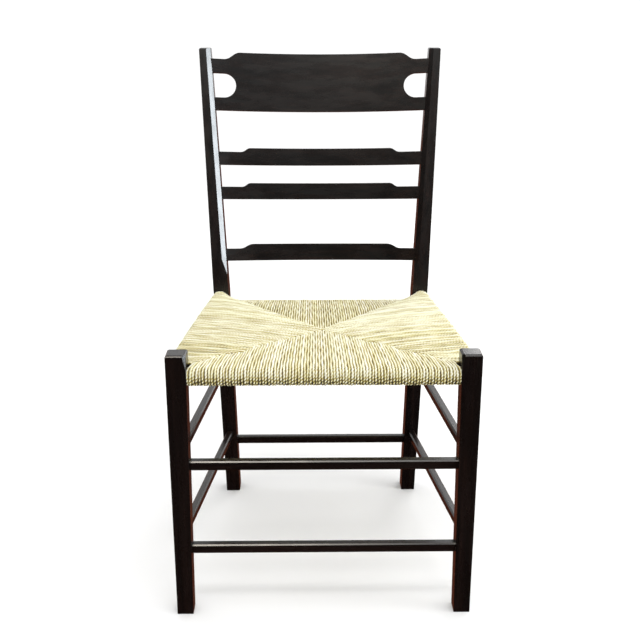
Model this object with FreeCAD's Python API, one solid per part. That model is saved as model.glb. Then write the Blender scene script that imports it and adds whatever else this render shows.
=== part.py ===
import FreeCAD, Part
import math
import os

# Ladder-back dining chair with a woven rush seat.
# Millimetres. +Z up, the floor is Z = 0, X = 0 is the plane of symmetry.
# The front faces -Y. The dimensions below count Y from the front faces of the front legs;
# main() moves the finished chair so that its origin is the middle of its box on the floor.

V = FreeCAD.Vector

# ---------------------------------------------------------------- front legs
FRONT_LEG_HEIGHT = 476.0
FRONT_TOP_OUTER = 250.0       # half width over the legs, at their tops
FRONT_TOP_WIDTH = 33.0
FRONT_FOOT_OUTER = 252.0
FRONT_FOOT_WIDTH = 27.5
TOP_EDGE_BEVEL = 2.8
THUMB_CHAMFER = 7.0           # width at the top of the stopped chamfer on the inner arris
THUMB_CHAMFER_LENGTH = 30.0

# ---------------------------------------------------------------- rear posts
BEND_HEIGHT = 445.0           # the post is upright below and raked above
POST_HEIGHT = 913.0
RAKE_DEG = 12.8
BEND_RADIUS = 260.0
BEND_STAGGER = 5.0            # the back face bends this far below the front face
POST_FRONT_Y = 432.5
POST_FOOT_OUTER = 202.0
POST_FOOT_WIDTH = 28.0
POST_BEND_OUTER = 215.0
POST_BEND_WIDTH = 30.5
POST_TOP_OUTER = 236.8
POST_TOP_WIDTH = 22.3
POST_FOOT_DEPTH = 34.0
POST_BEND_DEPTH = 38.0
POST_TOP_DEPTH = 28.0
POST_TOP_BEVEL = 1.8
POST_CHAMFER_X = 8.5          # long chamfer on the inner front arris, above the seat
POST_CHAMFER_Y = 7.0
POST_CHAMFER_STOP = 38.0      # distance above the bend where the chamfer has run out
POST_CHAMFER_FULL = 68.0      # distance above the bend where the chamfer is full size

# ---------------------------------------------------------------- back slats
SLAT_BOW = 35.0               # the slats curve back by this much at the middle
SLAT_THICKNESS = 10.0
SLAT_SETBACK = 7.5            # behind the front faces of the posts, where a slat meets them
SLAT_TENON = 14.0
SHOULDER_EASE = V(-20.0, 0.0, 0.0)    # how softly a shoulder leaves and meets the level edges
# Heights along the raked post, measured from the bend:
# bottom edge, top of the neck at the ends, top edge; then where the shoulder starts and ends.
SLATS = {
    "ladder_slat_upper": (255.5, 281.5, 289.4, 159.0, 139.0),
    "ladder_slat_middle": (187.6, 212.5, 220.0, 157.0, 139.0),
    "ladder_slat_lower": (64.4, 89.0, 98.0, 163.0, 135.0),
}
CREST = (362.4, 461.9, 475.6, 190.0, 157.0)
GAP_BOTTOM = 387.4            # the rounded finger gaps at the ends of the crest rail
GAP_TOP = 434.6
GAP_NOSE_X = 166.6

# ---------------------------------------------------------------- stretchers
# Section as (width, height), tenon depth, and the height of the underside.
FRONT_SECTION = (15.0, 16.8)
SIDE_UPPER_SECTION = (13.5, 16.0)
SIDE_LOWER_SECTION = (13.0, 15.5)
BACK_SECTION = (14.0, 16.0)
FRONT_STRETCHER_Y = 14.5
FRONT_UPPER_Z = 271.6
FRONT_LOWER_Z = 115.2
BACK_STRETCHER_Y = 448.5
BACK_STRETCHER_Z = 106.6
SIDE_UPPER_Z = (290.0, 286.0)     # at the front leg, at the rear post
SIDE_LOWER_Z = (138.5, 125.5)
STRETCHER_EDGE = ("chamfer", 2.2)     # all four long arrises
STRETCHER_TENON = 12.0
TENON_SHOULDER = 2.5

# ---------------------------------------------------------------- seat
RAIL_HEIGHT = 18.0
FRONT_RAIL_HEIGHT = 22.0
RAIL_DEPTH = 20.0
RAIL_EDGE = ("fillet", 5.0)
FRONT_RAIL_Y = 16.0
FRONT_RAIL_Z = 437.0          # centre heights of the rails
SIDE_RAIL_Z = 436.0
SIDE_RAIL_OUT = 6.0           # outwards of the front legs' centre lines, at their front ends
BACK_RAIL_Y = 446.0
BACK_RAIL_Z = 411.0
RAIL_TENON = 10.5
RAIL_TENON_SHOULDER = 4.5
BACK_RAIL_TENON = 14.0
CORD = 5.0                    # thickness of the twisted rush over the rails
SOFT_GAP = 0.3                # between the rush and the wood
ROLL_EDGE = ("fillet", 11.0)
ROLL_OVERRUN = 2.0            # the rolls run on this far into the legs before they are trimmed
CHANNEL_OVERRUN = 40.0        # the channels for the rails run on this far past the rolls
SEAT_CENTRE = (0.0, 230.0)
SEAT_CENTRE_TOP = 441.0
SEAT_CENTRE_THICKNESS = 28.0
PACKING_SCALE = 0.92          # plan of the packing against the plan of the rails
PACKING_CLEARANCE = 0.004     # the hollow for the packing is larger than it by this share
FRONT_CORNER = 34.0           # the pad is cut off this far along both rails at a front leg
REAR_CORNER_OUT = 1.5         # and at a rear post: outwards, forwards and along the back rail
REAR_CORNER_FORWARD = 17.0
REAR_CORNER_IN = 10.0

# ---------------------------------------------------------------- cutting tools
STOCK_WIDTH = 300.0           # longer than anything that is cut from the stock
STOCK_DEPTH = 700.0
PAST_END = 10.0               # a cutting tool starts and ends this far outside the work


def width_at(height, low, high, top):
    """A value that runs evenly from low at the floor to high at height top."""
    return low + (high - low) * height / top


def flat_sided(faces):
    """A solid from flat faces, whose corners all run the same way round."""
    sides = [Part.Face(Part.makePolygon(list(corners) + [corners[0]])) for corners in faces]
    shell = Part.Shell(sides)
    shell.sewShape()
    solid = Part.Solid(shell)
    if solid.Volume < 0:
        solid.reverse()
    return solid


def block(low, high):
    """A block between two flat outlines with the same number of corners."""
    faces = [low[::-1], high]
    for index in range(len(low)):
        faces.append((low[index - 1], low[index], high[index], high[index - 1]))
    return flat_sided(faces)


def pyramid(base, apex):
    return flat_sided([base[::-1]] + [(base[index - 1], base[index], apex) for index in range(len(base))])


def level_rectangle(x0, y0, x1, y1, z):
    return [V(x0, y0, z), V(x1, y0, z), V(x1, y1, z), V(x0, y1, z)]


def rounded_outline(points):
    """A closed wire through points (vector, radius); a radius of 0 keeps the corner sharp."""
    edges = []
    ends = []
    for index, (corner, radius) in enumerate(points):
        before = (points[index - 1][0] - corner).normalize()
        after = (points[(index + 1) % len(points)][0] - corner).normalize()
        if radius == 0:
            ends.append((corner, corner))
            continue
        half_turn = (math.pi - before.getAngle(after)) / 2
        reach = radius * math.tan(half_turn)
        first = corner + before * reach
        last = corner + after * reach
        middle = corner + (before + after).normalize() * (radius / math.cos(half_turn) - radius)
        edges.append(Part.Arc(first, middle, last).toShape())
        ends.append((first, last))
    for index, (first, last) in enumerate(ends):
        edges.append(Part.makeLine(ends[index - 1][1], first))
    return Part.Wire(Part.__sortEdges__(edges))


def prism(wire, direction):
    return Part.Face(wire).extrude(direction)


def mirror(shape):
    return shape.mirror(V(0, 0, 0), V(1, 0, 0))


def bar(start, end, width, height, edge=None):
    """A bar whose centre line runs from start to end, its height kept upright.

    edge says how its four long arrises are worked: ("fillet", radius) or ("chamfer", size)."""
    run = end - start
    length = run.Length
    stock = Part.makeBox(length, width, height, V(0, -width / 2, -height / 2))
    if edge is not None:
        kind, size = edge
        arrises = [line for line in stock.Edges if abs(line.Length - length) < 1e-6]
        stock = stock.makeFillet(size, arrises) if kind == "fillet" else stock.makeChamfer(size, arrises)
    yaw = math.degrees(math.atan2(run.y, run.x))
    pitch = -math.degrees(math.asin(run.z / length))
    stock.Placement = FreeCAD.Placement(start, FreeCAD.Rotation(yaw, pitch, 0))
    return stock


# ================================================================ front legs
def front_leg_blank(grow=0.0):
    foot = level_rectangle(FRONT_FOOT_OUTER - FRONT_FOOT_WIDTH - grow, -grow,
                           FRONT_FOOT_OUTER + grow, FRONT_FOOT_WIDTH + grow, 0)
    top = level_rectangle(FRONT_TOP_OUTER - FRONT_TOP_WIDTH - grow, -grow,
                          FRONT_TOP_OUTER + grow, FRONT_TOP_WIDTH + grow, FRONT_LEG_HEIGHT)
    return block(foot, top)


def front_leg():
    leg = front_leg_blank()
    top_edges = [edge for edge in leg.Edges
                 if min(vertex.Z for vertex in edge.Vertexes) > FRONT_LEG_HEIGHT - 1e-6]
    leg = leg.makeChamfer(TOP_EDGE_BEVEL, top_edges)
    corner = V(FRONT_TOP_OUTER - FRONT_TOP_WIDTH, 0, FRONT_LEG_HEIGHT + 0.1)
    run_out = V(0, 0, -THUMB_CHAMFER_LENGTH)
    base = [corner + V(-1, -1, 0), corner + V(THUMB_CHAMFER, 0, 0), corner + V(0, THUMB_CHAMFER, 0)]
    return leg.cut(pyramid(base, corner + run_out))


# ================================================================ rear posts
def along_rake(distance):
    """Y and Z of a point on the front face of a raked post."""
    rake = math.radians(RAKE_DEG)
    return POST_FRONT_Y + distance * math.sin(rake), BEND_HEIGHT + distance * math.cos(rake)


RAKED_LENGTH = (POST_HEIGHT - BEND_HEIGHT) / math.cos(math.radians(RAKE_DEG))


def post_inner_x(distance):
    """X of a post's inner face at a distance along the raked part."""
    low = POST_BEND_OUTER - POST_BEND_WIDTH
    high = POST_TOP_OUTER - POST_TOP_WIDTH
    return low + (high - low) * distance / RAKED_LENGTH


def rear_post_blank(grow=0.0):
    top_y, top_z = along_rake(RAKED_LENGTH)
    side = [
        (V(0, POST_FRONT_Y - grow, 0), 0),
        (V(0, POST_FRONT_Y + POST_FOOT_DEPTH + grow, 0), 0),
        (V(0, POST_FRONT_Y + POST_BEND_DEPTH + grow, BEND_HEIGHT - BEND_STAGGER), BEND_RADIUS),
        (V(0, top_y + POST_TOP_DEPTH + grow, top_z), 0),
        (V(0, top_y - grow, top_z), 0),
        (V(0, POST_FRONT_Y - grow, BEND_HEIGHT), BEND_RADIUS + POST_BEND_DEPTH),
    ]
    side_solid = prism(rounded_outline(side), V(STOCK_WIDTH, 0, 0))
    outline = [
        V(POST_FOOT_OUTER - POST_FOOT_WIDTH - grow, 0, 0),
        V(POST_FOOT_OUTER + grow, 0, 0),
        V(POST_BEND_OUTER + grow, 0, BEND_HEIGHT),
        V(POST_TOP_OUTER + grow, 0, POST_HEIGHT),
        V(POST_TOP_OUTER - POST_TOP_WIDTH - grow, 0, POST_HEIGHT),
        V(POST_BEND_OUTER - POST_BEND_WIDTH - grow, 0, BEND_HEIGHT),
    ]
    front_solid = prism(Part.makePolygon(outline + outline[:1]), V(0, STOCK_DEPTH, 0))
    return side_solid.common(front_solid)


def post_chamfer(distance):
    """Triangle that the long chamfer removes at a distance along the post."""
    rake = math.radians(RAKE_DEG)
    y, z = along_rake(distance)
    corner = V(post_inner_x(distance), y, z)
    into_post = V(0, math.cos(rake), -math.sin(rake))
    return [corner + V(-3, 0, 0) - into_post * 3, corner + V(POST_CHAMFER_X, 0, 0),
            corner + into_post * POST_CHAMFER_Y]


def rear_post():
    post = rear_post_blank()
    top_edges = [edge for edge in post.Edges
                 if min(vertex.Z for vertex in edge.Vertexes) > POST_HEIGHT - 1e-6]
    post = post.makeChamfer(POST_TOP_BEVEL, top_edges)
    y, z = along_rake(POST_CHAMFER_STOP)
    run_out = pyramid(post_chamfer(POST_CHAMFER_FULL), V(post_inner_x(POST_CHAMFER_STOP), y, z))
    full = block(post_chamfer(POST_CHAMFER_FULL), post_chamfer(RAKED_LENGTH + PAST_END))
    return post.cut(run_out).cut(full)


# ================================================================ back slats
def slat_outline(bottom, neck, top, shoulder_out, shoulder_in, end_x):
    """Front outline in the slat's own plane: X across, Z along the post."""
    right = [V(end_x, 0, bottom), V(end_x, 0, neck), V(shoulder_out, 0, neck), V(shoulder_in, 0, top)]
    left = [V(-point.x, 0, point.z) for point in reversed(right)]
    edges = [Part.makeLine(right[0], right[1]), Part.makeLine(right[1], right[2])]
    for start, finish in ((right[2], right[3]), (left[0], left[1])):
        curve = Part.BSplineCurve()
        curve.interpolate(Points=[start, finish], InitialTangent=SHOULDER_EASE, FinalTangent=SHOULDER_EASE)
        edges.append(curve.toShape())
    edges += [Part.makeLine(right[3], left[0]), Part.makeLine(left[1], left[2]),
              Part.makeLine(left[2], left[3]), Part.makeLine(left[3], right[0])]
    return Part.Wire(Part.__sortEdges__(edges))


def place_on_rake(shape):
    """Turn a slat made upright at Y = 0, Z = 0 into the raked plane of the posts."""
    shape.Placement = FreeCAD.Placement(V(0, POST_FRONT_Y, BEND_HEIGHT),
                                        FreeCAD.Rotation(V(1, 0, 0), -RAKE_DEG))
    return shape


def slat(bottom, neck, top, shoulder_out, shoulder_in):
    inner_x = post_inner_x((bottom + neck) / 2)
    end_x = inner_x + SLAT_TENON
    radius = (inner_x ** 2 + SLAT_BOW ** 2) / (2 * SLAT_BOW)
    centre = V(0, SLAT_SETBACK + SLAT_BOW - radius, bottom - PAST_END)
    height = top - bottom + 2 * PAST_END
    band = Part.makeCylinder(radius + SLAT_THICKNESS, height, centre)
    band = band.cut(Part.makeCylinder(radius, height, centre))
    outline = slat_outline(bottom, neck, top, shoulder_out, shoulder_in, end_x)
    blank = prism(outline, V(0, SLAT_SETBACK + SLAT_BOW + SLAT_THICKNESS + PAST_END, 0))
    return band.common(blank)


def crest_rail():
    bottom, neck, top, shoulder_out, shoulder_in = CREST
    board = slat(bottom, neck, top, shoulder_out, shoulder_in)
    gap_radius = (GAP_TOP - GAP_BOTTOM) / 2
    gap_centre = V(GAP_NOSE_X + gap_radius, -PAST_END, (GAP_TOP + GAP_BOTTOM) / 2)
    reach = SLAT_SETBACK + SLAT_BOW + SLAT_THICKNESS + 2 * PAST_END
    nose = Part.makeCylinder(gap_radius, reach, gap_centre, V(0, 1, 0))
    slot = Part.makeBox(STOCK_WIDTH, reach, 2 * gap_radius, gap_centre - V(0, 0, gap_radius))
    gap = nose.fuse(slot)
    return board.cut(gap).cut(mirror(gap))


# ================================================================ stretchers and rails
def front_leg_centre(height):
    outer = width_at(height, FRONT_FOOT_OUTER, FRONT_TOP_OUTER, FRONT_LEG_HEIGHT)
    width = width_at(height, FRONT_FOOT_WIDTH, FRONT_TOP_WIDTH, FRONT_LEG_HEIGHT)
    return outer - width / 2, width


def rear_post_centre(height):
    outer = width_at(height, POST_FOOT_OUTER, POST_BEND_OUTER, BEND_HEIGHT)
    width = width_at(height, POST_FOOT_WIDTH, POST_BEND_WIDTH, BEND_HEIGHT)
    return outer - width / 2, width


def joined_bar(start, end, section, edge, shoulder, posts):
    """A bar shouldered against the posts, with a thinner tenon running on into each."""
    body = bar(start, end, section[0], section[1], edge)
    for post in posts:
        body = body.cut(post)
    body = max(body.Solids, key=lambda solid: solid.Volume)
    tenon = bar(start, end, section[0] - 2 * shoulder, section[1] - 2 * shoulder)
    return body.fuse(tenon).removeSplitter(), tenon


def cross_bar(inner_x, y, centre_z, section, tenon_depth, edge, shoulder, posts):
    end = inner_x + tenon_depth
    return joined_bar(V(-end, y, centre_z), V(end, y, centre_z), section, edge, shoulder, posts)


def side_bar(front_z, rear_z, out, section, tenon_depth, edge, shoulder, posts):
    """Bar on the right-hand side, from the front leg back to the rear post.

    Its front end is joined this far outwards of the middle of the leg."""
    front_x, front_width = front_leg_centre(front_z)
    rear_x, rear_width = rear_post_centre(rear_z)
    start = V(front_x + out, front_width, front_z)
    end = V(rear_x, POST_FRONT_Y, rear_z)
    run = (end - start).normalize()
    return joined_bar(start - run * tenon_depth, end + run * tenon_depth, section, edge, shoulder, posts)


# ================================================================ rush seat
def seat_outline():
    """Half of the plan through the rail centre lines: x, y, top of the rush, underside."""
    over = RAIL_HEIGHT / 2 + CORD
    front_over = FRONT_RAIL_HEIGHT / 2 + CORD
    front = (FRONT_RAIL_Z + front_over, FRONT_RAIL_Z - front_over)
    side = (SIDE_RAIL_Z + over, SIDE_RAIL_Z - over)
    back = (BACK_RAIL_Z + over, BACK_RAIL_Z - over)
    corner = ((side[0] + back[0]) / 2, (side[1] + back[1]) / 2)
    front_x = front_leg_centre(FRONT_RAIL_Z)[0]
    rear_x, rear_width = rear_post_centre(BEND_HEIGHT)
    inner = rear_x - rear_width / 2
    return [
        (front_x - FRONT_CORNER, FRONT_RAIL_Y) + front,
        (front_x + SIDE_RAIL_OUT, FRONT_RAIL_Y + FRONT_CORNER) + side,
        (rear_x + REAR_CORNER_OUT, POST_FRONT_Y - REAR_CORNER_FORWARD) + side,
        (inner, POST_FRONT_Y) + corner,
        (inner - REAR_CORNER_IN, BACK_RAIL_Y) + back,
    ]


def seat_pad(scale, skin):
    """A pad of flat facets that fan out from the seat's centre, skin inside the woven surface."""
    half = seat_outline()
    ring = half + [(-x, y, top, under) for x, y, top, under in reversed(half)]
    centre_x, centre_y = SEAT_CENTRE
    centre_top = V(centre_x, centre_y, SEAT_CENTRE_TOP - skin)
    centre_under = V(centre_x, centre_y, SEAT_CENTRE_TOP - SEAT_CENTRE_THICKNESS + skin)
    tops = []
    unders = []
    for x, y, top, under in ring:
        tops.append(centre_top + (V(x, y, top - skin) - centre_top) * scale)
        unders.append(centre_under + (V(x, y, under + skin) - centre_under) * scale)
    faces = []
    for index in range(len(ring)):
        a, b = tops[index - 1], tops[index]
        c, d = unders[index - 1], unders[index]
        faces += [(a, b, centre_top), (d, c, centre_under), (c, d, b), (c, b, a)]
    return flat_sided(faces)


def rush_seat(rail_lines, wooden_blanks, packing_space):
    rush = seat_pad(1.0, 0.0)
    for start, end, height in rail_lines:
        roll = bar(start, end, RAIL_DEPTH + 2 * CORD, height + 2 * CORD, ROLL_EDGE)
        rush = rush.fuse(roll)
    for start, end, height in rail_lines:
        run = (end - start).normalize() * CHANNEL_OVERRUN
        channel = bar(start - run, end + run, RAIL_DEPTH + 2 * SOFT_GAP, height + 2 * SOFT_GAP, RAIL_EDGE)
        rush = rush.cut(channel)
    for blank in wooden_blanks:
        rush = rush.cut(blank)
    rush = max(rush.Solids, key=lambda solid: solid.Volume)
    return rush.cut(packing_space)


# ================================================================ assembly
def build():
    leg = front_leg()
    post = rear_post()
    frame = {"front_leg_right": leg, "front_leg_left": mirror(leg),
             "rear_post_right": post, "rear_post_left": mirror(post)}
    fronts = ["front_leg_right", "front_leg_left"]
    rears = ["rear_post_right", "rear_post_left"]
    pieces = {}
    mortises = {name: [] for name in frame}

    def cross(name, posts, inner_x, y, centre_z, section, depth, edge, shoulder):
        solids = [frame[post_name] for post_name in posts]
        piece, tenon = cross_bar(inner_x, y, centre_z, section, depth, edge, shoulder, solids)
        pieces[name] = piece
        for post_name in posts:
            mortises[post_name].append(tenon)

    def side(name, heights, out, section, depth, edge, shoulder):
        for hand in ("right", "left"):
            ends = [frame["front_leg_right"], frame["rear_post_right"]]
            piece, tenon = side_bar(heights[0], heights[1], out, section, depth, edge, shoulder, ends)
            if hand == "left":
                piece, tenon = mirror(piece), mirror(tenon)
            pieces[name.format(hand)] = piece
            mortises["front_leg_" + hand].append(tenon)
            mortises["rear_post_" + hand].append(tenon)

    for name, low in (("front_stretcher_upper", FRONT_UPPER_Z), ("front_stretcher_lower", FRONT_LOWER_Z)):
        centre_z = low + FRONT_SECTION[1] / 2
        leg_x, leg_width = front_leg_centre(centre_z)
        cross(name, fronts, leg_x - leg_width / 2, FRONT_STRETCHER_Y, centre_z, FRONT_SECTION,
              STRETCHER_TENON, STRETCHER_EDGE, TENON_SHOULDER)
    centre_z = BACK_STRETCHER_Z + BACK_SECTION[1] / 2
    post_x, post_width = rear_post_centre(centre_z)
    cross("back_stretcher", rears, post_x - post_width / 2, BACK_STRETCHER_Y, centre_z, BACK_SECTION,
          STRETCHER_TENON, STRETCHER_EDGE, TENON_SHOULDER)
    for name, lows, section in (("side_stretcher_{}_upper", SIDE_UPPER_Z, SIDE_UPPER_SECTION),
                                ("side_stretcher_{}_lower", SIDE_LOWER_Z, SIDE_LOWER_SECTION)):
        heights = [low + section[1] / 2 for low in lows]
        side(name, heights, 0.0, section, STRETCHER_TENON, STRETCHER_EDGE, TENON_SHOULDER)

    rail_section = (RAIL_DEPTH, RAIL_HEIGHT)
    leg_x, leg_width = front_leg_centre(FRONT_RAIL_Z)
    cross("seat_rail_front", fronts, leg_x - leg_width / 2, FRONT_RAIL_Y, FRONT_RAIL_Z,
          (RAIL_DEPTH, FRONT_RAIL_HEIGHT), RAIL_TENON, RAIL_EDGE, RAIL_TENON_SHOULDER)
    post_x, post_width = rear_post_centre(BACK_RAIL_Z)
    cross("seat_rail_back", rears, post_x - post_width / 2, BACK_RAIL_Y, BACK_RAIL_Z, rail_section,
          BACK_RAIL_TENON, RAIL_EDGE, RAIL_TENON_SHOULDER)
    side("seat_rail_{}", (SIDE_RAIL_Z, SIDE_RAIL_Z), SIDE_RAIL_OUT, rail_section, RAIL_TENON, RAIL_EDGE,
         RAIL_TENON_SHOULDER)

    for name, sizes in SLATS.items():
        pieces[name] = slat(*sizes)
    pieces["crest_rail"] = crest_rail()
    for name in list(SLATS) + ["crest_rail"]:
        pieces[name] = place_on_rake(pieces[name])
        for post_name in rears:
            mortises[post_name].append(pieces[name])

    for name, tools in mortises.items():
        for tool in tools:
            frame[name] = frame[name].cut(tool)

    front_x, front_width = front_leg_centre(SIDE_RAIL_Z)
    front_x += SIDE_RAIL_OUT
    rear_x = rear_post_centre(SIDE_RAIL_Z)[0]
    front_end = V(leg_x, FRONT_RAIL_Y, FRONT_RAIL_Z)
    back_end = V(post_x, BACK_RAIL_Y, BACK_RAIL_Z)
    side_start = V(front_x, front_width, SIDE_RAIL_Z)
    side_end = V(rear_x, POST_FRONT_Y, SIDE_RAIL_Z)
    past_end = (side_end - side_start).normalize() * ROLL_OVERRUN
    side_start -= past_end
    side_end += past_end
    rail_lines = [
        (V(-leg_x, FRONT_RAIL_Y, FRONT_RAIL_Z), front_end, FRONT_RAIL_HEIGHT),
        (V(-post_x, BACK_RAIL_Y, BACK_RAIL_Z), back_end, RAIL_HEIGHT),
        (side_start, side_end, RAIL_HEIGHT),
        (V(-side_start.x, side_start.y, side_start.z), V(-side_end.x, side_end.y, side_end.z), RAIL_HEIGHT),
    ]
    blanks = [front_leg_blank(SOFT_GAP), rear_post_blank(SOFT_GAP)]
    blanks += [mirror(blank) for blank in blanks]
    pieces["seat_packing"] = seat_pad(PACKING_SCALE, CORD)
    packing_space = seat_pad(PACKING_SCALE + PACKING_CLEARANCE, CORD - SOFT_GAP)
    pieces["rush_seat"] = rush_seat(rail_lines, blanks, packing_space)
    pieces.update(frame)
    return pieces


def main():
    os.makedirs("parts", exist_ok=True)
    pieces = build()
    box = Part.makeCompound(list(pieces.values())).BoundBox
    to_origin = V(0, -(box.YMin + box.YMax) / 2, 0)
    for name, shape in pieces.items():
        shape.translate(to_origin)
        shape.exportStep("parts/" + name + ".step")


main()
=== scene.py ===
import math
import random

import bpy
import numpy as np
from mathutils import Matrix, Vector


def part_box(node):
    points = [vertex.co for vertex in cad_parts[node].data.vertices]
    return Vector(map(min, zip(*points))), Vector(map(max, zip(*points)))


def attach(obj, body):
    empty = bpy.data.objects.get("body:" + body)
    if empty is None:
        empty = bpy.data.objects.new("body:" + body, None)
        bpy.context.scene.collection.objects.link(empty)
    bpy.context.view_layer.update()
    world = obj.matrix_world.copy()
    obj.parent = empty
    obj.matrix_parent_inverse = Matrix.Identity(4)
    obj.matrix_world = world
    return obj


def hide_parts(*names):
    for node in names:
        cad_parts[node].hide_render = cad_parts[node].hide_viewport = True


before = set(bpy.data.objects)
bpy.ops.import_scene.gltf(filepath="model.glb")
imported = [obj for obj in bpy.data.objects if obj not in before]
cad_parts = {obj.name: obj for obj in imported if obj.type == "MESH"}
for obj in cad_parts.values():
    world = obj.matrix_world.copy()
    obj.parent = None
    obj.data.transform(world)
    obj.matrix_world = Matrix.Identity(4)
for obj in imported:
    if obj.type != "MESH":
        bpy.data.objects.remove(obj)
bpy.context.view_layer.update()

# Ladder-back dining chair with a woven rush seat. Metres, in the frame of the CAD part.

MM = 0.001

# ---------------------------------------------------------------- camera
CAMERA_LENS = 53.1            # mm on a 36 mm sensor
CAMERA_PLACE = (-0.023, -1.675, 1.0047)
CAMERA_PITCH_DEG = 18.8       # downwards
CAMERA_YAW_DEG = 0.685        # to the right

# ---------------------------------------------------------------- rush seat
CORD_RADIUS = 2.15 * MM       # mean radius of one twisted cord
CORD_LIFT = 2.7 * MM          # from the rail to the middle of a cord
PLY_DEPTH = 0.22              # how far the two plies stand out, as a share of the radius
TWIST_PITCH = 11.0 * MM       # length of one full turn of the cord
RING_STEP = 1.6 * MM
RING_SIDES = 8
FRONT_CORDS = 92
BACK_CORDS = 84
SIDE_CORDS = 84
SIDE_SPLIT = 0.6              # share of the side rail whose cords run to the front mitre
TUCK_LENGTH = 5.0 * MM        # the cords run on past the mitre lines and turn down under them
TUCK_DROP = 7.0 * MM
ROLL_ROUND = 8.5 * MM         # radius at which the cords turn round a rail
ROLL_START = 2.0 * MM         # the straight stretches start this far inside a rail's centre line
SLOPE_STEPS = 14              # points along a straight stretch
ARC_STEPS = 8                 # and round a quarter turn
UNDER_SAG = 1.5 * MM          # of the cords on the underside
PILLOW = 3.0 * MM             # how much the top swells between rail and mitre, at most
PILLOW_SHARE = 0.02           # and as a share of a cord's reach
CORD_UNEVEN = 0.45 * MM       # how much the cords' heights differ
CORD_WANDER = 0.38 * MM       # how far a cord strays sideways
SIDE_LIFT = 1.2 * MM          # the side cords lie this much higher than the others at the mitres
END_CLEARANCE = 2.0 * MM      # between the outermost cords and the legs or posts
LEG_CLEARANCE = 2.2 * MM      # the same, for the side cords
FRONT_GAP_SHADE = 1.15        # strength of the shade painted into the gaps between the front cords
GAP_UNEVEN = 0.3              # how much the painted shade in the gaps of the front and back cords differs from one cord to the next
END_JITTER = 2.6 * MM         # how unevenly the cords reach the mitre lines
BACK_GAP_SHADE = 1.6          # painted shade between the back cords
SIDE_GAP_SHADE = 1.15         # painted shade between the side cords
SIDE_GAP_UNEVEN = 0.6         # how much the painted shade in the gaps of the side cords differs from one cord to the next
SIDE_BULGE = 3.5 * MM         # the side rolls swell outwards half way along
LEG_BULGE = 2.5 * MM          # the side roll stands out this much more right behind the front leg
CORNER_BOW = 7.0 * MM         # the side cords bow back before they turn down to the mitre
SEED = 7


def socket(node, name, value):
    node.inputs[name].default_value = value


def new_material(name):
    material = bpy.data.materials.new(name)
    material.use_nodes = True
    tree = material.node_tree
    tree.nodes.clear()
    output = tree.nodes.new("ShaderNodeOutputMaterial")
    shader = tree.nodes.new("ShaderNodeBsdfPrincipled")
    tree.links.new(shader.outputs["BSDF"], output.inputs["Surface"])
    return material, tree, shader


def noise(tree, vector, scale, detail=4.0, roughness=0.55, distortion=0.0):
    node = tree.nodes.new("ShaderNodeTexNoise")
    socket(node, "Scale", scale)
    socket(node, "Detail", detail)
    socket(node, "Roughness", roughness)
    socket(node, "Distortion", distortion)
    tree.links.new(vector, node.inputs["Vector"])
    return node.outputs["Fac"]


def stretched(tree, vector, scale):
    node = tree.nodes.new("ShaderNodeMapping")
    socket(node, "Scale", scale)
    tree.links.new(vector, node.inputs["Vector"])
    return node.outputs["Vector"]


def remap(tree, value, low, high, to_low, to_high):
    node = tree.nodes.new("ShaderNodeMapRange")
    node.interpolation_type = "SMOOTHSTEP"
    for name, number in (("From Min", low), ("From Max", high), ("To Min", to_low), ("To Max", to_high)):
        socket(node, name, number)
    tree.links.new(value, node.inputs["Value"])
    return node.outputs["Result"]


def blend_colours(tree, factor, first, second):
    node = tree.nodes.new("ShaderNodeMix")
    node.data_type = "RGBA"
    tree.links.new(factor, node.inputs["Factor"])
    for name, colour in (("A", first), ("B", second)):
        target = [item for item in node.inputs if item.name == name and item.type == "RGBA"][0]
        if isinstance(colour, tuple):
            target.default_value = colour + (1.0,)
        else:
            tree.links.new(colour, target)
    return [item for item in node.outputs if item.type == "RGBA"][0]


def bump(tree, shader, height, strength, distance, after=None):
    node = tree.nodes.new("ShaderNodeBump")
    socket(node, "Strength", strength)
    socket(node, "Distance", distance)
    tree.links.new(height, node.inputs["Height"])
    if after is not None:
        tree.links.new(after, node.inputs["Normal"])
    tree.links.new(node.outputs["Normal"], shader.inputs["Normal"])
    return node.outputs["Normal"]


def dark_wood(axis):
    """Near-black brown stain under semi-gloss lacquer, with the grain along one axis."""
    material, tree, shader = new_material("dark_wood_" + "xyz"[axis])
    place = tree.nodes.new("ShaderNodeTexCoord").outputs["Object"]

    def along(cross, length):
        scale = [cross] * 3
        scale[axis] = length
        return stretched(tree, place, scale)

    bands = noise(tree, along(45.0, 2.2), 1.0, 3.0, 0.5, 1.2)
    fibres = noise(tree, along(420.0, 9.0), 1.0, 5.0, 0.6, 0.3)
    pores = noise(tree, along(1300.0, 45.0), 1.0, 2.0, 0.5)
    cloud = noise(tree, place, 6.0, 3.0, 0.5)
    deep = (0.0030, 0.0022, 0.0020)
    warm = (0.0100, 0.0052, 0.0040)
    red = (0.0200, 0.0085, 0.0056)
    base = blend_colours(tree, remap(tree, bands, 0.35, 0.68, 0.0, 1.0), deep, warm)
    base = blend_colours(tree, remap(tree, fibres, 0.50, 0.75, 0.0, 0.75), base, red)
    base = blend_colours(tree, remap(tree, pores, 0.30, 0.42, 0.7, 0.0), base, deep)
    base = blend_colours(tree, remap(tree, cloud, 0.42, 0.68, 0.0, 0.45), base, deep)
    tree.links.new(base, shader.inputs["Base Color"])
    rough = remap(tree, noise(tree, along(60.0, 14.0), 1.0, 4.0, 0.6), 0.3, 0.7, 0.23, 0.31)
    tree.links.new(rough, shader.inputs["Roughness"])
    socket(shader, "Specular IOR Level", 0.34)
    socket(shader, "Coat Weight", 0.06)
    socket(shader, "Coat Roughness", 0.2)
    first = bump(tree, shader, pores, 0.10, 0.0002)
    bump(tree, shader, noise(tree, along(30.0, 6.0), 1.0, 3.0, 0.5), 0.04, 0.0015, first)
    return material


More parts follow.
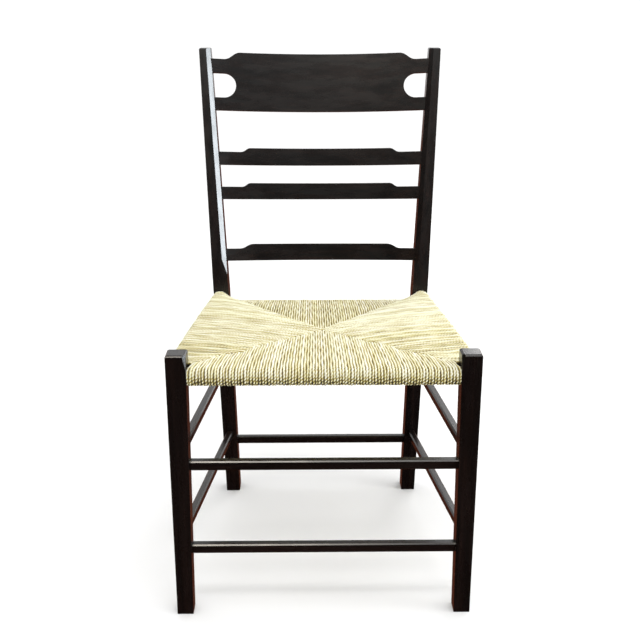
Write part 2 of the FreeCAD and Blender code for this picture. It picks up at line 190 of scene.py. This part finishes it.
def frame_wood():
    """Bare pale wood of the hidden seat rails."""
    material, tree, shader = new_material("seat_frame_wood")
    place = tree.nodes.new("ShaderNodeTexCoord").outputs["Object"]
    fibres = noise(tree, stretched(tree, place, (60.0, 60.0, 300.0)), 1.0, 5.0, 0.6, 0.5)
    grain = remap(tree, fibres, 0.3, 0.7, 0.0, 1.0)
    base = blend_colours(tree, grain, (0.20, 0.12, 0.06), (0.42, 0.28, 0.16))
    tree.links.new(base, shader.inputs["Base Color"])
    tree.links.new(remap(tree, fibres, 0.3, 0.7, 0.55, 0.75), shader.inputs["Roughness"])
    bump(tree, shader, fibres, 0.3, 0.0004)
    return material


def rush_material(name, pale, straw, tan, deep):
    """Twisted dry rush: streaks follow the plies, every cord has its own tone, and painted shade darkens the
    gaps and the undersides of the rolls.
    """
    material, tree, shader = new_material(name)
    uv = tree.nodes.new("ShaderNodeUVMap")
    uv.uv_map = "cord"
    tone = tree.nodes.new("ShaderNodeAttribute")
    tone.attribute_name = "tone"
    shade = tree.nodes.new("ShaderNodeAttribute")
    shade.attribute_name = "shade"
    streaks = noise(tree, stretched(tree, uv.outputs["UV"], (0.35, 5.0, 1.0)), 1.0, 5.0, 0.65, 0.4)
    patches = noise(tree, stretched(tree, uv.outputs["UV"], (0.13, 0.4, 1.0)), 1.0, 3.0, 0.6)
    fine = noise(tree, stretched(tree, uv.outputs["UV"], (1.2, 16.0, 1.0)), 1.0, 3.0, 0.6)
    base = blend_colours(tree, tone.outputs["Fac"], pale, straw)
    base = blend_colours(tree, remap(tree, streaks, 0.50, 0.72, 0.0, 0.6), base, tan)
    base = blend_colours(tree, remap(tree, patches, 0.54, 0.72, 0.0, 0.5), base, straw)
    base = blend_colours(tree, remap(tree, fine, 0.60, 0.74, 0.0, 0.25), base, tan)
    # Painted shade: tan in the shallower gaps, then the deep colour in the deepest gaps and under the rolls.
    base = blend_colours(tree, remap(tree, shade.outputs["Fac"], 0.12, 0.50, 0.0, 0.92), base, tan)
    base = blend_colours(tree, remap(tree, shade.outputs["Fac"], 0.50, 0.95, 0.0, 0.97), base, deep)
    tree.links.new(base, shader.inputs["Base Color"])
    tree.links.new(remap(tree, streaks, 0.3, 0.7, 0.48, 0.72), shader.inputs["Roughness"])
    socket(shader, "Specular IOR Level", 0.35)
    socket(shader, "Sheen Weight", 0.15)
    socket(shader, "Sheen Roughness", 0.4)
    first = bump(tree, shader, fine, 0.35, 0.0003)
    bump(tree, shader, streaks, 0.4, 0.0006, first)
    return material


# ================================================================ wooden pieces
WOOD_X = dark_wood(0)
WOOD_Y = dark_wood(1)
WOOD_Z = dark_wood(2)
GRAIN = {
    "front_leg": WOOD_Z, "rear_post": WOOD_Z, "crest_rail": WOOD_X, "ladder_slat": WOOD_X,
    "front_stretcher": WOOD_X, "back_stretcher": WOOD_X, "side_stretcher": WOOD_Y,
}
STRETCHER_EASING = 0.4 * MM    # the stretchers already have chamfered arrises
EASING = {"front_leg": 1.3 * MM, "rear_post": 1.3 * MM, "crest_rail": 2.4 * MM, "ladder_slat": 2.4 * MM}


def ease_edges(piece, width):
    """Round the arrises of a wooden piece without touching its mesh."""
    for layer in ("custom_normal", "sharp_edge", "sharp_face"):
        if layer in piece.data.attributes:
            piece.data.attributes.remove(piece.data.attributes[layer])
    piece.data.polygons.foreach_set("use_smooth", [True] * len(piece.data.polygons))
    weld = piece.modifiers.new("weld", "WELD")
    weld.merge_threshold = 0.01 * MM
    flat = piece.modifiers.new("flat_faces", "DECIMATE")
    flat.decimate_type = "DISSOLVE"
    flat.angle_limit = math.radians(0.4)
    if width > 0:
        bevel = piece.modifiers.new("eased_edges", "BEVEL")
        bevel.width = width
        bevel.segments = 3
        bevel.limit_method = "ANGLE"
        bevel.angle_limit = math.radians(28)
        bevel.use_clamp_overlap = True
    normals = piece.modifiers.new("normals", "WEIGHTED_NORMAL")
    normals.weight = 100
    normals.keep_sharp = False


for name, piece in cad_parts.items():
    for start, material in GRAIN.items():
        if name.startswith(start):
            piece.data.materials.clear()
            piece.data.materials.append(material)
            ease_edges(piece, EASING.get(start, STRETCHER_EASING))

FRAME_WOOD = frame_wood()
for name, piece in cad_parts.items():
    if name.startswith("seat_rail"):
        piece.data.materials.clear()
        piece.data.materials.append(FRAME_WOOD)
        ease_edges(piece, 0.8 * MM)

# ================================================================ rush seat
leg_low, leg_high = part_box("front_leg_right")
post_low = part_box("rear_post_right")[0]
front_low, front_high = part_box("seat_rail_front")
back_low, back_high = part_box("seat_rail_back")
side_low, side_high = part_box("seat_rail_right")

FRONT_Y = (front_low.y + front_high.y) / 2
BACK_Y = (back_low.y + back_high.y) / 2
FRONT_Z = (front_low.z + front_high.z) / 2
BACK_Z = (back_low.z + back_high.z) / 2
SIDE_Z = (side_low.z + side_high.z) / 2
FRONT_UP = (front_high.z - front_low.z) / 2
BACK_UP = (back_high.z - back_low.z) / 2
SIDE_UP = (side_high.z - side_low.z) / 2
RAIL_OUT = (front_high.y - front_low.y) / 2
FRONT_SIDE_X = side_high.x - 10.3 * MM
BACK_SIDE_X = 199.5 * MM
LEG_INNER_X = leg_low.x
LEG_BACK_Y = leg_high.y
POST_FRONT_Y = post_low.y
POST_INNER_X = 184.5 * MM
CENTRE_Y = FRONT_Y + 206.0 * MM
CENTRE_TOP = FRONT_Z + 4.0 * MM
CENTRE_UNDER = FRONT_Z - 24.0 * MM

# The mitre lines in plan, right-hand side, from the corner to the centre of the seat.
FRONT_MITRE = [(LEG_INNER_X, FRONT_Y + 14 * MM), (188 * MM, FRONT_Y + 35 * MM), (172 * MM, FRONT_Y + 56 * MM),
               (132 * MM, FRONT_Y + 78 * MM), (118 * MM, FRONT_Y + 104 * MM), (85 * MM, FRONT_Y + 129 * MM),
               (39 * MM, FRONT_Y + 170 * MM), (0.0, CENTRE_Y)]
BACK_MITRE = [(POST_INNER_X + 2 * MM, POST_FRONT_Y + 1 * MM), (0.0, CENTRE_Y)]


def lerp(a, b, t):
    return a + (b - a) * t


def read_line(points, key, value):
    """Point on a polyline of (x, y) where its x (key 0) or y (key 1) has a value."""
    line = sorted(points, key=lambda point: point[key])
    keys = [point[key] for point in line]
    others = [point[1 - key] for point in line]
    other = float(np.interp(value, keys, others))
    return (value, other) if key == 0 else (other, value)


def mitre_height(x, front):
    """Height of the top and the underside of the weave along a mitre line."""
    corner_x = LEG_INNER_X if front else POST_INNER_X
    rail_z = FRONT_Z if front else (BACK_Z + SIDE_Z) / 2
    t = 1 - min(1.0, abs(x) / corner_x)
    over = (FRONT_UP if front else BACK_UP) + CORD_LIFT
    top = lerp(rail_z + over, CENTRE_TOP - CORD_RADIUS, t)
    under = lerp(rail_z - over, CENTRE_UNDER + CORD_RADIUS, t)
    return top, under


def cord_profile(reach, rail, top_z, under_z, lift, bulge):
    """Centre line of one pass of cord: along the underside, round the rail and back over the top.

    Points are (distance from the rail's centre line towards the middle of the seat, height)."""
    rail_z, rail_up = rail
    up = rail_up + CORD_LIFT
    out = RAIL_OUT + CORD_LIFT + bulge
    points = []
    for k in range(SLOPE_STEPS + 1):
        t = 1 - k / SLOPE_STEPS
        h = lerp(ROLL_START, reach, t)
        points.append((h, lerp(rail_z - up, under_z, t) - UNDER_SAG * math.sin(math.pi * t)))
    turn_x = -out + ROLL_ROUND
    low_turn = (rail_z - up + ROLL_ROUND, -math.pi / 2)
    high_turn = (rail_z + up - ROLL_ROUND, math.pi)
    for turn_z, first_angle in (low_turn, high_turn):
        for k in range(ARC_STEPS + 1):
            angle = first_angle - math.pi / 2 * k / ARC_STEPS
            points.append((turn_x + ROLL_ROUND * math.cos(angle), turn_z + ROLL_ROUND * math.sin(angle)))
    pillow = min(PILLOW, reach * PILLOW_SHARE)
    for k in range(SLOPE_STEPS + 1):
        t = k / SLOPE_STEPS
        h = lerp(ROLL_START, reach, t)
        ease = t * t * (3 - 2 * t) * 0.35 + t * 0.65
        points.append((h, lerp(rail_z + up, top_z + lift, ease) + pillow * math.sin(math.pi * t)))
    points.append((reach + TUCK_LENGTH * 0.55, top_z + lift - TUCK_DROP * 0.3))
    points.append((reach + TUCK_LENGTH * 0.85, top_z + lift - TUCK_DROP))
    return np.array(points)


def resample(points, step):
    lengths = np.concatenate([[0], np.cumsum(np.linalg.norm(np.diff(points, axis=0), axis=1))])
    count = max(8, int(lengths[-1] / step))
    at = np.linspace(0, lengths[-1], count)
    return np.stack([np.interp(at, lengths, points[:, k]) for k in range(points.shape[1])], axis=1), at


class CordMesh:
    """Gathers the tubes of one quarter of the seat into a single mesh."""

    def __init__(self, name, seed):
        self.name = name
        self.random = random.Random(seed)
        self.points = []
        self.faces = []
        self.coords = []
        self.tones = []
        self.shades = []
        self.count = 0

    def add(self, rail, end, section, top_z, under_z, lift, bulge=0.0, bow=0.0,
            depth=FRONT_GAP_SHADE, uneven=GAP_UNEVEN):
        draw = self.random
        run = np.array([end[0] - rail[0], end[1] - rail[1]])
        reach = float(np.linalg.norm(run))
        across = run / reach
        reach += draw.uniform(-1, 1) * min(END_JITTER, 0.1 * reach)
        lift += draw.uniform(-1, 1) * CORD_UNEVEN
        profile = cord_profile(reach, section, top_z, under_z, lift, bulge)
        line, at = resample(profile, RING_STEP)
        count = len(line)
        slope = np.gradient(line, axis=0)
        slope /= np.linalg.norm(slope, axis=1)[:, None]
        side = np.array([-across[1], across[0], 0.0])
        centres = np.zeros((count, 3))
        centres[:, 0] = rail[0] + across[0] * line[:, 0]
        centres[:, 1] = rail[1] + across[1] * line[:, 0]
        centres[:, 2] = line[:, 1]
        wave = draw.uniform(0, 2 * math.pi)
        wander = CORD_WANDER * np.sin(at / (draw.uniform(30, 60) * MM) * 2 * math.pi + wave)
        wander += bow * np.sin(np.clip(line[:, 0] / reach, 0, 1) * math.pi)
        centres += side[None, :] * wander[:, None]
        normals = np.stack([-slope[:, 1] * across[0], -slope[:, 1] * across[1], slope[:, 0]], axis=1)
        turn = at / TWIST_PITCH * 2 * math.pi + draw.uniform(0, 2 * math.pi)
        size = CORD_RADIUS * draw.uniform(0.95, 1.07)
        swell = 1 + 0.05 * np.sin(at / (23 * MM) * 2 * math.pi + draw.uniform(0, 6))
        sides = np.arange(RING_SIDES) / RING_SIDES * 2 * math.pi
        radius = size * swell[:, None] * (1 + PLY_DEPTH * np.cos(2 * (sides[None, :] - turn[:, None])))
        ring = (centres[:, None, :] + radius[:, :, None] * (
            np.cos(sides)[None, :, None] * side[None, None, :]
            + np.sin(sides)[None, :, None] * normals[:, None, :]))
        first = self.count
        self.points.append(ring.reshape(-1, 3))
        k = np.arange(count - 1)[:, None] * RING_SIDES
        j = np.arange(RING_SIDES)[None, :]
        nxt = (j + 1) % RING_SIDES
        quads = np.stack([k + j, k + nxt, k + RING_SIDES + nxt, k + RING_SIDES + j], axis=-1).reshape(-1, 4)
        self.faces.append(quads + first)
        u = at / (10 * MM) + draw.uniform(0, 100)
        v = np.arange(RING_SIDES + 1)[None, :] / RING_SIDES - (turn / (2 * math.pi))[:, None]
        lower = np.stack([np.broadcast_to(u[:-1, None], (count - 1, RING_SIDES)), v[:-1, :-1]], axis=-1)
        lower_next = np.stack([np.broadcast_to(u[:-1, None], (count - 1, RING_SIDES)), v[:-1, 1:]], axis=-1)
        upper_next = np.stack([np.broadcast_to(u[1:, None], (count - 1, RING_SIDES)), v[1:, 1:]], axis=-1)
        upper = np.stack([np.broadcast_to(u[1:, None], (count - 1, RING_SIDES)), v[1:, :-1]], axis=-1)
        self.coords.append(np.stack([lower, lower_next, upper_next, upper], axis=2).reshape(-1, 2))
        self.tones.append(np.full(count * RING_SIDES, draw.random() ** 1.4))
        # shade is painted shade: 0 on the crown of a cord and 1 deep in a gap or between the two plies.
        gap = depth * draw.uniform(1 - uneven, 1 + uneven)
        # The painted gap shade rises and falls slowly along the cord.
        gap_shade_wave = 0.80 + 0.25 * np.sin(at / (draw.uniform(45, 110) * MM) * 2 * math.pi + draw.uniform(0, 6))
        # The painted shade grows on the lower part of each roll and on the underside of the seat.
        below = np.clip((section[0] + 0.35 * section[1] - line[:, 1]) / (1.3 * section[1]), 0, 1)
        sunk = np.clip(1.28 - 1.25 * np.sin(sides), 0, 1)[None, :] * gap_shade_wave[:, None] * gap
        groove = (0.5 - 0.5 * np.cos(2 * (sides[None, :] - turn[:, None]))) ** 4
        shade = sunk * (1 + 1.0 * below[:, None]) + groove * (0.18 + 1.7 * below[:, None])
        shade = np.clip(shade, 0, 0.78 + 0.22 * below[:, None])
        self.shades.append(np.broadcast_to(shade, (count, RING_SIDES)).ravel())
        self.count += count * RING_SIDES

    def build(self, material):
        points = np.concatenate(self.points)
        faces = np.concatenate(self.faces)
        mesh = bpy.data.meshes.new(self.name)
        mesh.vertices.add(len(points))
        mesh.vertices.foreach_set("co", points.astype(np.float32).ravel())
        mesh.loops.add(faces.size)
        mesh.loops.foreach_set("vertex_index", faces.astype(np.int32).ravel())
        mesh.polygons.add(len(faces))
        mesh.polygons.foreach_set("loop_start", np.arange(0, faces.size, 4, dtype=np.int32))
        layer = mesh.uv_layers.new(name="cord")
        layer.data.foreach_set("uv", np.concatenate(self.coords).astype(np.float32).ravel())
        tone = mesh.attributes.new("tone", "FLOAT", "POINT")
        tone.data.foreach_set("value", np.concatenate(self.tones).astype(np.float32))
        shade = mesh.attributes.new("shade", "FLOAT", "POINT")
        shade.data.foreach_set("value", np.concatenate(self.shades).astype(np.float32))
        mesh.update(calc_edges=True)
        mesh.validate()
        mesh.polygons.foreach_set("use_smooth", [True] * len(mesh.polygons))
        mesh.materials.append(material)
        piece = bpy.data.objects.new(self.name, mesh)
        bpy.context.scene.collection.objects.link(piece)
        return piece


def front_cords(cords):
    for index in range(FRONT_CORDS):
        t = (index + 0.5) / FRONT_CORDS * 2 - 1
        x = t * (LEG_INNER_X - END_CLEARANCE)
        end = read_line(FRONT_MITRE, 0, abs(x) * (0.89 + 0.08 * abs(t)))
        top, under = mitre_height(end[0], True)
        cords.add((x, FRONT_Y), (math.copysign(end[0], x), end[1]), (FRONT_Z, FRONT_UP), top, under, 0.0)


def back_cords(cords):
    for index in range(BACK_CORDS):
        t = (index + 0.5) / BACK_CORDS * 2 - 1
        x = t * (POST_INNER_X - END_CLEARANCE)
        end = read_line(BACK_MITRE, 0, min(abs(x) * 1.03, POST_INNER_X))
        top, under = mitre_height(end[0], False)
        cords.add((x, BACK_Y), (math.copysign(end[0], x), end[1]), (BACK_Z, BACK_UP), top, under, 0.0,
                  depth=BACK_GAP_SHADE)


def side_cords(cords, hand):
    y_first = LEG_BACK_Y + LEG_CLEARANCE
    y_last = POST_FRONT_Y - LEG_CLEARANCE
    for index in range(SIDE_CORDS):
        t = (index + 0.5) / SIDE_CORDS
        y = lerp(y_first, y_last, t)
        x = lerp(FRONT_SIDE_X, BACK_SIDE_X, (y - LEG_BACK_Y) / (POST_FRONT_Y - LEG_BACK_Y))
        front = t < SIDE_SPLIT
        if front:
            end_y = lerp(FRONT_MITRE[0][1], CENTRE_Y, t / SIDE_SPLIT)
            end = read_line(FRONT_MITRE, 1, end_y)
        else:
            end_y = lerp(CENTRE_Y, BACK_MITRE[0][1], (t - SIDE_SPLIT) / (1 - SIDE_SPLIT))
            end = read_line(BACK_MITRE, 1, end_y)
        top, under = mitre_height(end[0], front)
        bow = hand * CORNER_BOW * max(0.0, 1 - t / (0.75 * SIDE_SPLIT))
        bulge = SIDE_BULGE * math.sin(math.pi * t) + LEG_BULGE * (1 - t) ** 3
        # The painted gap shade is stronger where the side cords bow back at the front corners.
        depth = SIDE_GAP_SHADE * (1 + 0.5 * abs(bow) / CORNER_BOW)
        cords.add((hand * x, y), (hand * end[0], end[1]), (SIDE_Z, SIDE_UP), top, under, SIDE_LIFT,
                  bulge, bow, depth, SIDE_GAP_UNEVEN)


PALE_RUSH = (0.94, 0.94, 0.80)
STRAW = (0.86, 0.85, 0.58)
# TAN is the rush's own streak colour, and also the painted shade of the shallower gaps.
TAN = (0.48, 0.37, 0.06)
# Painted shade for the deepest gaps and the undersides of the rolls.
GAP_SHADE_COLOUR = (0.026, 0.014, 0.003)
RUSH = rush_material("rush", PALE_RUSH, STRAW, TAN, GAP_SHADE_COLOUR)
quarters = []
for name, fill in (("rush_cords_front", front_cords), ("rush_cords_back", back_cords),
                   ("rush_cords_right", lambda cords: side_cords(cords, 1)),
                   ("rush_cords_left", lambda cords: side_cords(cords, -1))):
    cords = CordMesh(name, SEED + len(quarters))
    fill(cords)
    piece = cords.build(RUSH)
    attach(piece, "root")
    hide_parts("rush_seat")
    quarters.append(piece)

# ================================================================ loose rush inside the seat
PACKING_SHRINK = 0.88         # thinner than the CAD piece, so that the cords clear it
packing_low, packing_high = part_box("seat_packing")
packing_middle = (packing_low + packing_high) / 2
packing_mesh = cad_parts["seat_packing"].data.copy()
packing_mesh.name = "packing_rush"
for vertex in packing_mesh.vertices:
    vertex.co.z = packing_middle.z + (vertex.co.z - packing_middle.z) * PACKING_SHRINK
packing = bpy.data.objects.new("packing_rush", packing_mesh)
bpy.context.scene.collection.objects.link(packing)
packing_mesh.materials.clear()
PACKING, tree, shader = new_material("packing")
place = tree.nodes.new("ShaderNodeTexCoord").outputs["Object"]
stems = noise(tree, stretched(tree, place, (90.0, 420.0, 300.0)), 1.0, 5.0, 0.7, 1.5)
stem_tone = remap(tree, stems, 0.35, 0.7, 0.0, 1.0)
stem_colour = blend_colours(tree, stem_tone, (0.13, 0.08, 0.03), (0.42, 0.32, 0.16))
tree.links.new(stem_colour, shader.inputs["Base Color"])
tree.links.new(remap(tree, stems, 0.3, 0.7, 0.6, 0.85), shader.inputs["Roughness"])
bump(tree, shader, stems, 0.8, 0.002)
packing_mesh.materials.append(PACKING)
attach(packing, "root")
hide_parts("seat_packing")

# ================================================================ studio
BACKDROP_STRENGTH = 1.1
FLOOR_HALF_WIDTH = 250.0      # wide enough to meet the horizon
WARM_GROUND = (0.20, 0.055, 0.028)    # what the lacquer reflects from below
WHITE = (1.0, 1.0, 1.0)
corners = [(-1, -1), (1, -1), (1, 1), (-1, 1)]
floor_mesh = bpy.data.meshes.new("floor")
floor_points = [(x * FLOOR_HALF_WIDTH, y * FLOOR_HALF_WIDTH, 0.0) for x, y in corners]
floor_mesh.from_pydata(floor_points, [], [(0, 1, 2, 3)])
floor = bpy.data.objects.new("floor", floor_mesh)
floor.visible_glossy = False
bpy.context.scene.collection.objects.link(floor)
FLOOR, tree, shader = new_material("pale_floor")
socket(shader, "Base Color", (0.94, 0.94, 0.94, 1.0))
socket(shader, "Roughness", 0.9)
socket(shader, "Specular IOR Level", 0.1)
floor_mesh.materials.append(FLOOR)

world = bpy.data.worlds.new("studio")
world.use_nodes = True
tree = world.node_tree
background = tree.nodes["Background"]
direction = tree.nodes.new("ShaderNodeSeparateXYZ")
tree.links.new(tree.nodes.new("ShaderNodeTexCoord").outputs["Generated"], direction.inputs["Vector"])


def add_light(first, second):
    node = tree.nodes.new("ShaderNodeMath")
    node.operation = "MAXIMUM"
    tree.links.new(first, node.inputs[0])
    tree.links.new(second, node.inputs[1])
    return node.outputs["Value"]


# What lights the chair: a white room behind, above and to the right, dimmer in front and to the
# left, over a dark warm ground.
behind = remap(tree, direction.outputs["Y"], -0.10, 0.30, 0.0, 1.12)
above = remap(tree, direction.outputs["Z"], 0.22, 0.58, 0.04, 1.15)
window = remap(tree, direction.outputs["X"], 0.55, 0.85, 0.0, 1.9)
room = add_light(add_light(behind, above), window)
horizon = remap(tree, direction.outputs["Z"], -0.12, -0.02, 0.0, 1.0)
brightness = tree.nodes.new("ShaderNodeMix")
ground = remap(tree, direction.outputs["Y"], 0.50, 0.85, 0.30, 1.0)
for name, source in (("Factor", horizon), ("A", ground), ("B", room)):
    tree.links.new(source, brightness.inputs[name])
room_colour = blend_colours(tree, horizon, WARM_GROUND, WHITE)
tree.links.new(brightness.outputs["Result"], background.inputs["Strength"])
tree.links.new(room_colour, background.inputs["Color"])

# Seen directly, the room is plain white all round, like the floor.
backdrop = tree.nodes.new("ShaderNodeBackground")
socket(backdrop, "Color", WHITE + (1.0,))
socket(backdrop, "Strength", BACKDROP_STRENGTH)
seen = tree.nodes.new("ShaderNodeMixShader")
tree.links.new(tree.nodes.new("ShaderNodeLightPath").outputs["Is Camera Ray"], seen.inputs["Fac"])
tree.links.new(background.outputs["Background"], seen.inputs[1])
tree.links.new(backdrop.outputs["Background"], seen.inputs[2])
tree.links.new(seen.outputs["Shader"], tree.nodes["World Output"].inputs["Surface"])
bpy.context.scene.world = world


def area_light(name, place, target, size, power, colour=WHITE, soft=True):
    """A rectangular light; one that isn't soft shows only as a reflection in the lacquer."""
    data = bpy.data.lights.new(name, "AREA")
    data.shape = "RECTANGLE"
    data.size, data.size_y = size
    data.energy = power
    data.color = colour
    light = bpy.data.objects.new(name, data)
    light.location = place
    light.rotation_euler = (Vector(target) - Vector(place)).to_track_quat("-Z", "Y").to_euler()
    light.visible_diffuse = soft
    light.visible_camera = False
    bpy.context.scene.collection.objects.link(light)


COOL = (0.86, 0.94, 1.0)
CREAM = (1.0, 0.91, 0.78)
OVER_PLACE = (0.15, -1.30, 2.35)
STRIP_PLACE = (-0.85, -2.25, 3.65)
RIGHT_PLACE = (2.45, -0.50, 1.20)
RIGHT_PANEL_PLACE = (2.45, -0.50, 1.12)
RIGHT_TARGET = (-0.2, 0.2, 0.75)
area_light("overhead_panel", OVER_PLACE, (0, -0.25, 0.3), (1.3, 0.35), 12.0)
area_light("overhead_strip", STRIP_PLACE, (0, -0.28, 0.2), (1.8, 0.75), 135.0, CREAM, False)
area_light("right_strip", RIGHT_PLACE, RIGHT_TARGET, (0.9, 1.8), 160.0, COOL, False)
area_light("right_panel", RIGHT_PANEL_PLACE, RIGHT_TARGET, (0.9, 1.4), 14.0)
area_light("rear_panel", (1.3, 2.6, 1.5), (0.2, -0.3, 0.47), (1.0, 1.0), 16.0)

camera_data = bpy.data.cameras.new("camera")
camera_data.lens = CAMERA_LENS
camera_data.sensor_width = 36.0
camera = bpy.data.objects.new("camera", camera_data)
camera.location = CAMERA_PLACE
camera.rotation_euler = (math.radians(90 - CAMERA_PITCH_DEG), 0, -math.radians(CAMERA_YAW_DEG))
bpy.context.scene.collection.objects.link(camera)
bpy.context.scene.camera = camera

view = bpy.context.scene.view_settings
view.view_transform = "Standard"
view.look = "None"
view.exposure = 0.0
